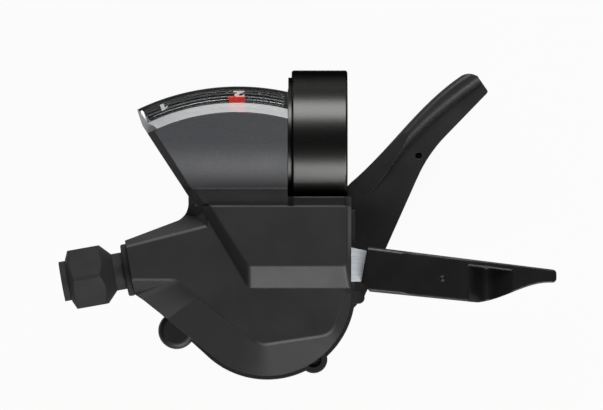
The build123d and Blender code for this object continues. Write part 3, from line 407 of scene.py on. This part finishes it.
def painted_highlight_polycarbonate(name, colour):
    """Bevel of the window: its pale colour is a painted highlight; the rough, half clear surface lets red
    through.
    """
    material, tree = new_material(name)
    place = add(tree, "ShaderNodeTexCoord").outputs["Object"]
    etch = add(tree, "ShaderNodeTexNoise", {"Vector": place, "Scale": 1 / (0.3 * MM), "Detail": 2.0})
    dull = add(tree, "ShaderNodeMapRange", {"Value": etch.outputs["Fac"], "To Min": 0.3, "To Max": 0.42})
    shader = add(tree, "ShaderNodeBsdfPrincipled", {
        "Base Color": linear(colour), "Roughness": dull.outputs["Result"], "IOR": 1.58,
        "Transmission Weight": 0.5,
    })
    add(tree, "ShaderNodeOutputMaterial", {"Surface": shader.outputs["BSDF"]})
    return material


def pad_print(name, colour, metallic, roughness):
    """Pad-printed ink: flat, slightly uneven in its cover."""
    material, tree = new_material(name)
    place = add(tree, "ShaderNodeTexCoord").outputs["Object"]
    cover = add(tree, "ShaderNodeTexNoise", {"Vector": place, "Scale": 1 / (0.4 * MM), "Detail": 2.0})
    tone = add(tree, "ShaderNodeValToRGB", {"Fac": cover.outputs["Fac"]}, stops=(
        (0.0, shaded(colour, 0.88)), (0.55, linear(colour)),
    ))
    shader = add(tree, "ShaderNodeBsdfPrincipled", {
        "Base Color": tone.outputs["Color"], "Metallic": metallic, "Roughness": roughness,
    })
    add(tree, "ShaderNodeOutputMaterial", {"Surface": shader.outputs["BSDF"]})
    return material


def geometry_tree(name, *inputs):
    """An empty geometry tree with named numbers and a material, and the sockets that bring them in."""
    tree = bpy.data.node_groups.new(name, "GeometryNodeTree")
    for label in inputs:
        tree.interface.new_socket(label, in_out="INPUT", socket_type="NodeSocketFloat")
    tree.interface.new_socket("Material", in_out="INPUT", socket_type="NodeSocketMaterial")
    tree.interface.new_socket("Geometry", in_out="OUTPUT", socket_type="NodeSocketGeometry")
    return tree, add(tree, "NodeGroupInput").outputs


def drawn_along(tree, curve, profile, material):
    """End a geometry tree: draw a profile along a curve, with its ends closed, and give it the material."""
    drawn = add(tree, "GeometryNodeCurveToMesh", {
        "Curve": curve, "Profile Curve": profile, "Fill Caps": True,
    })
    whole = add(tree, "GeometryNodeRealizeInstances", {"Geometry": drawn.outputs["Mesh"]})
    dressed = add(tree, "GeometryNodeSetMaterial", {
        "Geometry": whole.outputs["Geometry"], "Material": material,
    })
    add(tree, "NodeGroupOutput", {"Geometry": dressed.outputs["Geometry"]})


def thread_tree():
    """Ridge of a screw thread: a three-sided profile along a spiral."""
    tree, given = geometry_tree("screw_thread", "Radius", "Pitch", "Turns", "Ridge")
    height = add(tree, "ShaderNodeMath", {0: given["Pitch"], 1: given["Turns"]}, operation="MULTIPLY")
    spiral = add(tree, "GeometryNodeCurveSpiral", {
        "Resolution": 40, "Rotations": given["Turns"], "Start Radius": given["Radius"],
        "End Radius": given["Radius"], "Height": height.outputs[0],
    })
    ridge = add(tree, "GeometryNodeCurvePrimitiveCircle", {"Resolution": 3, "Radius": given["Ridge"]})
    drawn_along(tree, spiral.outputs["Curve"], ridge.outputs["Curve"], given["Material"])
    return tree


def arc_line_tree():
    """Thin strip: a flat profile along an arc."""
    tree, given = geometry_tree("arc_line", "Radius", "Start", "Sweep", "Width", "Thickness")
    arc = add(tree, "GeometryNodeCurveArc", {
        "Resolution": 64, "Radius": given["Radius"], "Start Angle": given["Start"],
        "Sweep Angle": given["Sweep"],
    })
    flat = add(tree, "GeometryNodeCurvePrimitiveQuadrilateral", {
        "Width": given["Width"], "Height": given["Thickness"],
    })
    drawn_along(tree, arc.outputs["Curve"], flat.outputs["Curve"], given["Material"])
    return tree


def baked(tree, **values):
    """The mesh that a geometry tree makes from these values."""
    holder = bpy.data.objects.new("holder", bpy.data.meshes.new("holder"))
    bpy.context.scene.collection.objects.link(holder)
    nodes = holder.modifiers.new("nodes", "NODES")
    nodes.node_group = tree
    for item in tree.interface.items_tree:
        if item.in_out == "INPUT":
            nodes[item.identifier] = values[item.name]
    bpy.context.view_layer.update()
    mesh = bpy.data.meshes.new_from_object(holder.evaluated_get(bpy.context.evaluated_depsgraph_get()))
    bpy.data.objects.remove(holder)
    return mesh


def dress(material, *nodes):
    """Give CAD nodes one material."""
    for node in nodes:
        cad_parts[node].data.materials.clear()
        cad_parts[node].data.materials.append(material)


def mesh_piece(name, mesh, material, body):
    """A new piece whose place is in its mesh, riding on a body."""
    piece = bpy.data.objects.new(name, mesh)
    bpy.context.scene.collection.objects.link(piece)
    mesh.materials.clear()
    mesh.materials.append(material)
    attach(piece, body)


class SHIFTER_OT_housing(bpy.types.Operator):
    """Finish the cover, the base plate and what holds them together."""

    bl_idname = "shifter.housing"
    bl_label = "Housing"

    def execute(self, context):
        colours = context.scene.shifter_colours
        grain = {"roughness": 0.5, "grain_mm": 0.45, "relief_mm": 0.03}
        cover = moulded_resin("moulded_nylon_cover", colours.cover, edge_mm=0.4, **grain)
        base = moulded_resin("moulded_nylon_base", colours.base, **grain)
        screws = worked_steel(
            "blackened_steel_screws", colours.screws, roughness=0.4, stretch=(1, 1, 0.2), grain_mm=0.3,
            relief_mm=0.01
        )
        dress(cover, "upper_cover")
        # Painted sheen: the hood's face is coloured lighter than the cover, standing in for the light it
        # catches.
        satin = moulded_resin("nylon_hood_painted_sheen", colours.hood, edge_mm=0.4, **grain)
        fade_painted_sheen(satin, colours.cover, HOOD_SHEEN_FADE, HOOD_SHEEN_END)
        self.hood(satin)
        dress(base, "base_plate")
        dress(screws, "cover_screws")
        self.seal(context.scene.shifter_sizes, base)
        return {"FINISHED"}

    def hood(self, material):
        """Painted sheen: a lighter colour on the hood's face, from the window down to the bar."""
        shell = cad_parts["upper_cover"].data
        shell.materials.append(material)
        for face in shell.polygons:
            side, front, up = abs(face.normal.x), face.normal.y, face.normal.z
            painted_sheen_face = side < HOOD_SHEEN_SIDEWAYS and front < HOOD_SHEEN_TO_FRONT and up > HOOD_SHEEN_UP
            face.material_index = 1 if painted_sheen_face and face.center.y > HOOD_SHEEN_END else 0

    def seal(self, sizes, material):
        """Thin strip in the slit between the hood and the band, so that no light shows through."""
        hood_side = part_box("display_lens")[1].x
        band_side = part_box("clamp_band")[0].x
        mesh = baked(
            arc_line_tree(), Radius=sizes.seal_radius, Start=math.radians(SEAL_START),
            Sweep=math.radians(SEAL_SWEEP), Width=sizes.seal_width, Thickness=band_side - hood_side,
            Material=material
        )
        middle = (hood_side + band_side) / 2
        on_bar = Matrix(((0, 0, 1, middle), (1, 0, 0, 0), (0, 1, 0, 0), (0, 0, 0, 1)))
        mesh.transform(on_bar)
        mesh_piece("hood_seal", mesh, material, "housing")


class SHIFTER_OT_clamp(bpy.types.Operator):
    """Finish the handlebar band and the fasteners, and cut the thread of the clamp bolt."""

    bl_idname = "shifter.clamp"
    bl_label = "Clamp"

    def execute(self, context):
        colours = context.scene.shifter_colours
        band = anodised_aluminium("black_anodised_aluminium_band", colours.band, colours.band_glance)
        dress(band, "clamp_band")
        steel = worked_steel(
            "zinc_plated_fasteners", colours.fastener, roughness=0.34, stretch=(1, 0.15, 1), grain_mm=0.3,
            relief_mm=0.01
        )
        dress(steel, "clamp_bolt", "clamp_nut", "foot_screws", "main_axle", "axle_nut", "axle_washer")
        self.thread(context.scene.shifter_sizes, steel)
        return {"FINISHED"}

    def thread(self, sizes, steel):
        """Thread on the end of the clamp bolt that stands out of its nut."""
        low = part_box("clamp_bolt")[0]
        nut_low, nut_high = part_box("clamp_nut")
        length = nut_low.y - low.y - 2 * sizes.thread_height
        mesh = baked(
            thread_tree(), Radius=sizes.bolt_radius - sizes.thread_height / 2, Pitch=sizes.thread_pitch,
            Turns=length / sizes.thread_pitch, Ridge=sizes.thread_height, Material=steel
        )
        turn = Matrix.Rotation(-math.pi / 2, 4, "X")
        start = Vector((0, low.y + sizes.thread_height, (nut_low.z + nut_high.z) / 2))
        mesh.transform(Matrix.Translation(start) @ turn)
        mesh_piece("clamp_bolt_thread", mesh, steel, "housing")


class SHIFTER_OT_levers(bpy.types.Operator):
    """Finish the thumb lever and the release lever."""

    bl_idname = "shifter.levers"
    bl_label = "Levers"

    def execute(self, context):
        colours = context.scene.shifter_colours
        lever = moulded_resin(
            "moulded_nylon_thumb_lever", colours.lever, roughness=0.44, grain_mm=0.5, relief_mm=0.04,
            edge_mm=0.15
        )
        finger = moulded_resin(
            "moulded_nylon_finger_piece", colours.finger, roughness=0.33, grain_mm=0.5, relief_mm=0.02,
            edge_mm=0.6
        )
        arm = worked_steel(
            "zinc_plated_pressed_steel", colours.steel, roughness=0.62, stretch=(0.12, 1, 1), grain_mm=0.35,
            relief_mm=0.012, metallic=0.8
        )
        dress(lever, "thumb_lever")
        dress(finger, "release_cover")
        dress(arm, "release_plate")
        return {"FINISHED"}


class SHIFTER_OT_adjuster(bpy.types.Operator):
    """Finish the barrel adjuster and its socket."""

    bl_idname = "shifter.adjuster"
    bl_label = "Adjuster"

    def execute(self, context):
        colours = context.scene.shifter_colours
        knob = moulded_resin(
            "moulded_nylon_knob", colours.knob, roughness=0.76, grain_mm=0.4, relief_mm=0.03, edge_mm=0.35
        )
        dress(knob, "adjuster_knob", "adjuster_socket", "click_collar", "adjuster_bolt")
        return {"FINISHED"}


class SHIFTER_OT_works(bpy.types.Operator):
    """Finish the drum, the ratchet, the pawls and the springs inside."""

    bl_idname = "shifter.works"
    bl_label = "Works"

    def execute(self, context):
        colours = context.scene.shifter_colours
        drum = moulded_resin(
            "moulded_acetal_drum", colours.drum, roughness=0.36, grain_mm=0.8, relief_mm=0.01
        )
        plated = worked_steel(
            "zinc_plated_ratchet", colours.fastener, roughness=0.36, stretch=(1, 1, 0.15), grain_mm=0.3,
            relief_mm=0.01
        )
        wire = worked_steel(
            "drawn_spring_wire", colours.spring, roughness=0.32, stretch=(1, 1, 0.2), grain_mm=0.25,
            relief_mm=0.008
        )
        dress(drum, "winding_drum")
        dress(
            plated, "ratchet_plate", "drive_pin", "winding_pawl", "winding_pawl_pin", "holding_pawl",
            "holding_pawl_pin", "pointer_screw"
        )
        dress(
            wire, "drum_spring", "winding_pawl_spring", "holding_pawl_spring", "thumb_lever_spring",
            "release_spring", "adjuster_spring"
        )
        return {"FINISHED"}


class SHIFTER_OT_display(bpy.types.Operator):
    """Finish the dial, the pointer and the clear window."""

    bl_idname = "shifter.display"
    bl_label = "Display"

    def execute(self, context):
        colours = context.scene.shifter_colours
        sizes = context.scene.shifter_sizes
        dress(ridged_resin("matt_abs_dial", colours.dial, sizes.ridge_pitch), "dial_plate")
        red = moulded_resin(
            "moulded_abs_pointer", colours.pointer, roughness=0.4, grain_mm=0.6, relief_mm=0.01
        )
        dress(red, "pointer")
        dress(clear_polycarbonate("clear_polycarbonate_window", colours.window), "display_lens")
        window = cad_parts["display_lens"]
        window.visible_shadow = False               # the lamps reach the dial straight through the window
        window.visible_diffuse = False
        # Painted highlight: the bevel's pale colour stands in for light that the clear bevel reflects.
        window.data.materials.append(painted_highlight_polycarbonate("polycarbonate_bevel_painted_highlight", colours.bevel))
        for face in window.data.polygons:
            sloping = BEVEL_LEAST_UP < face.normal.z < BEVEL_MOST_UP
            near_hood = (face.center.xy - PIVOT).length < sizes.bevel_radius
            at_end = face.normal.x < BEVEL_END_SIDEWAYS
            face.material_index = 1 if sloping and (near_hood or at_end) else 0
        return {"FINISHED"}


class SHIFTER_OT_dial_marks(bpy.types.Operator):
    """Print the figures 1 and 2 on the dial, and draw the raised dial line, whose pale metal colour is a
    painted highlight.
    """

    bl_idname = "shifter.dial_marks"
    bl_label = "Dial marks"

    def execute(self, context):
        colours = context.scene.shifter_colours
        sizes = context.scene.shifter_sizes
        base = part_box("dial_plate")[1].z - 0.5 * sizes.figure_relief
        ink = pad_print("white_pad_print", colours.figures, metallic=0.0, roughness=0.45)
        # Painted highlight: the raised dial line's pale metal colour stands in for the highlight along a
        # ridge.
        painted_ridge_highlight = pad_print("dial_line_painted_highlight", colours.line, metallic=0.9, roughness=0.35)
        figures = bmesh.new()
        places = (
            (self.bold_one(), ONE_ANGLE, ONE_WIDTH),
            (self.typeset(context, "2"), TWO_ANGLE, TWO_WIDTH),
        )
        for flat, angle, width in places:
            lows = Vector([min(v.co[i] for v in flat.vertices) for i in range(3)])
            highs = Vector([max(v.co[i] for v in flat.vertices) for i in range(3)])
            wanted = (width, sizes.figure_height, sizes.figure_relief)
            fit = Matrix.Diagonal([want / side for want, side in zip(wanted, highs - lows)] + [1])
            way = math.radians(angle)
            spot = PIVOT + Vector((math.cos(way), math.sin(way))) * sizes.figure_radius
            turn = Matrix.Rotation(way + math.pi / 2, 4, "Z")
            flat.transform(fit @ Matrix.Translation(-(lows + highs) / 2))
            flat.transform(Matrix.Translation((spot.x, spot.y, base)) @ turn)
            figures.from_mesh(flat)
            bpy.data.meshes.remove(flat)
        figures.faces.sort(key=lambda face: face.calc_center_median().dot(FACE_ORDER))
        mesh = bpy.data.meshes.new("dial_figures")
        figures.to_mesh(mesh)
        figures.free()
        mesh_piece("dial_figures", mesh, ink, "housing")

        mesh = baked(
            arc_line_tree(), Radius=sizes.line_radius, Start=math.radians(LINE_START),
            Sweep=math.radians(LINE_SWEEP), Width=sizes.line_width, Thickness=sizes.figure_relief,
            Material=painted_ridge_highlight
        )
        mesh.transform(Matrix.Translation((PIVOT.x, PIVOT.y, base)))
        mesh_piece("dial_line", mesh, painted_ridge_highlight, "housing")
        return {"FINISHED"}

    def bold_one(self):
        """A bold figure 1, a thick stem with its flag, as a flat solid."""
        outline = ((0.44, 0), (1, 0), (1, 1), (0.62, 1), (0, 0.72), (0, 0.5), (0.44, 0.64))
        shape = bmesh.new()
        face = shape.faces.new([shape.verts.new((x, y, 0)) for x, y in outline])
        raised = bmesh.ops.extrude_face_region(shape, geom=[face])["geom"]
        lifted = [item for item in raised if isinstance(item, bmesh.types.BMVert)]
        bmesh.ops.translate(shape, verts=lifted, vec=(0, 0, 1))
        bmesh.ops.recalc_face_normals(shape, faces=shape.faces)
        mesh = bpy.data.meshes.new("figure")
        shape.to_mesh(mesh)
        shape.free()
        return mesh

    def typeset(self, context, text):
        """A bold figure in the plain built-in type, as a flat solid."""
        curve = bpy.data.curves.new("figure", "FONT")
        curve.body = text
        curve.offset = 0.05
        curve.extrude = 0.5
        holder = bpy.data.objects.new("figure", curve)
        context.scene.collection.objects.link(holder)
        context.view_layer.update()
        mesh = bpy.data.meshes.new_from_object(holder.evaluated_get(context.evaluated_depsgraph_get()))
        bpy.data.objects.remove(holder)
        return mesh


class SHIFTER_OT_stage(bpy.types.Operator):
    """Set the floor, the lights and the camera."""

    bl_idname = "shifter.stage"
    bl_label = "Stage"

    def execute(self, context):
        scene = context.scene
        sizes = scene.shifter_sizes
        scene.view_settings.view_transform = "Standard"
        self.floor(scene, sizes)
        self.world(scene)
        self.softbox(scene, "softbox_rider", tilt=51, turn=0, width=0.42, depth=0.32, radiance=7.0)
        self.softbox(scene, "softbox_front", tilt=-55, turn=18, width=0.36, depth=0.36, radiance=7.2)
        self.camera(scene, sizes)
        return {"FINISHED"}

    def floor(self, scene, sizes):
        """Pale round floor with a low rim: white to the camera, with the part's soft shadow on it."""
        radius = sizes.floor_size / 2
        level = cad_box[0].z - FLOOR_DROP
        sweep = bmesh.new()
        path = [(0, 0)] + [
            (radius + RIM_ROUND * math.sin(turn), RIM_ROUND * (1 - math.cos(turn)))
            for turn in (math.radians(90 * step / RIM_STEPS) for step in range(RIM_STEPS + 1))
        ] + [(radius + RIM_ROUND, RIM_HEIGHT)]
        points = [sweep.verts.new((x, 0, level + z)) for x, z in path]
        lines = [sweep.edges.new(pair) for pair in zip(points, points[1:])]
        bmesh.ops.spin(
            sweep, geom=points + lines, cent=(0, 0, 0), axis=(0, 0, 1), angle=2 * math.pi,
            steps=FLOOR_SIDES, use_merge=True
        )
        bmesh.ops.remove_doubles(sweep, verts=sweep.verts, dist=MM)
        bmesh.ops.recalc_face_normals(sweep, faces=sweep.faces)
        mesh = bpy.data.meshes.new("studio_floor")
        sweep.to_mesh(mesh)
        sweep.free()
        mesh.materials.append(self.paper())
        floor = bpy.data.objects.new("studio_floor", mesh)
        scene.collection.objects.link(floor)

    def paper(self):
        """White paper: white to the camera and through the window, dimmer in reflections, with shadows."""
        material, tree = new_material("white_paper_floor")
        rays = add(tree, "ShaderNodeLightPath").outputs
        gloss = add(tree, "ShaderNodeMath", {
            0: rays["Is Glossy Ray"], 1: GLOSS_SHARE,
        }, operation="MULTIPLY")
        seen = add(tree, "ShaderNodeMath", {
            0: rays["Is Camera Ray"], 1: gloss.outputs[0],
        }, operation="ADD")
        seen = add(tree, "ShaderNodeMath", {
            0: seen.outputs[0], 1: rays["Is Transmission Ray"],
        }, operation="ADD")
        share = add(tree, "ShaderNodeMath", {
            0: seen.outputs[0], 1: FLOOR_WHITE,
        }, operation="MULTIPLY", use_clamp=True)
        paper = add(tree, "ShaderNodeBsdfDiffuse", {"Color": linear(PAPER_COLOUR)})
        glow = add(tree, "ShaderNodeEmission", {"Strength": 1.0})
        mix = add(tree, "ShaderNodeMixShader", {
            0: share.outputs[0], 1: paper.outputs[0], 2: glow.outputs[0],
        })
        add(tree, "ShaderNodeOutputMaterial", {"Surface": mix.outputs[0]})
        return material

    def world(self, scene):
        """Dim even surroundings."""
        scene.world = bpy.data.worlds.new("studio")
        scene.world.use_nodes = True
        tree = scene.world.node_tree
        tree.nodes.clear()
        room = add(tree, "ShaderNodeBackground", {"Color": linear(ROOM_COLOUR), "Strength": ROOM_STRENGTH})
        add(tree, "ShaderNodeOutputWorld", {"Surface": room.outputs[0]})

    def softbox(self, scene, name, tilt, turn, width, depth, radiance):
        """A soft box, tilted from straight above to the rider or the front and turned to the side."""
        light = bpy.data.lights.new(name, "AREA")
        light.shape = "RECTANGLE"
        light.size = width
        light.size_y = depth
        light.energy = radiance * math.pi * light.size * light.size_y
        lamp = bpy.data.objects.new(name, light)
        scene.collection.objects.link(lamp)
        swing = Matrix.Rotation(math.radians(turn), 4, "Z") @ Matrix.Rotation(math.radians(-tilt), 4, "X")
        lamp.matrix_world = Matrix.Translation(LAMP_AIM) @ swing @ Matrix.Translation((0, 0, LAMP_DISTANCE))
        lamp.visible_camera = False

    def camera(self, scene, sizes):
        """Long lens straight above the part, framed as the photograph is."""
        data = bpy.data.cameras.new("camera")
        data.lens = sizes.lens
        data.sensor_fit = "HORIZONTAL"
        data.sensor_width = SENSOR_WIDTH
        camera = bpy.data.objects.new("camera", data)
        scene.collection.objects.link(camera)
        width = IMAGE_WIDTH * PHOTO_MM_PER_PIXEL * MM
        camera.location = (*PHOTO_MIDDLE, width * data.lens / data.sensor_width)
        data.clip_start = 0.05
        data.clip_end = 50.0
        scene.camera = camera


class SHIFTER_PT_panel(bpy.types.Panel):
    """Sizes, colours and steps of the shifter's looks."""

    bl_idname = "SHIFTER_PT_panel"
    bl_label = "Trigger shifter"
    bl_space_type = "VIEW_3D"
    bl_region_type = "UI"
    bl_category = "Shifter"

    def draw(self, context):
        for group in (context.scene.shifter_colours, context.scene.shifter_sizes):
            for name in group.__annotations__:
                self.layout.prop(group, name)
        for step in STEPS:
            self.layout.operator(step.bl_idname)


STEPS = (
    SHIFTER_OT_stage,
    SHIFTER_OT_housing,
    SHIFTER_OT_clamp,
    SHIFTER_OT_levers,
    SHIFTER_OT_adjuster,
    SHIFTER_OT_works,
    SHIFTER_OT_display,
    SHIFTER_OT_dial_marks,
)
CLASSES = (ShifterColours, ShifterSizes, *STEPS, SHIFTER_PT_panel)


def register():
    for cls in CLASSES:
        bpy.utils.register_class(cls)
    bpy.types.Scene.shifter_colours = bpy.props.PointerProperty(type=ShifterColours)
    bpy.types.Scene.shifter_sizes = bpy.props.PointerProperty(type=ShifterSizes)


def unregister():
    del bpy.types.Scene.shifter_sizes
    del bpy.types.Scene.shifter_colours
    for cls in reversed(CLASSES):
        bpy.utils.unregister_class(cls)


def main():
    register()
    bpy.ops.shifter.stage()
    bpy.ops.shifter.housing()
    bpy.ops.shifter.clamp()
    bpy.ops.shifter.levers()
    bpy.ops.shifter.adjuster()
    bpy.ops.shifter.works()
    bpy.ops.shifter.display()
    bpy.ops.shifter.dial_marks()


if __name__ == "__main__":
    main()
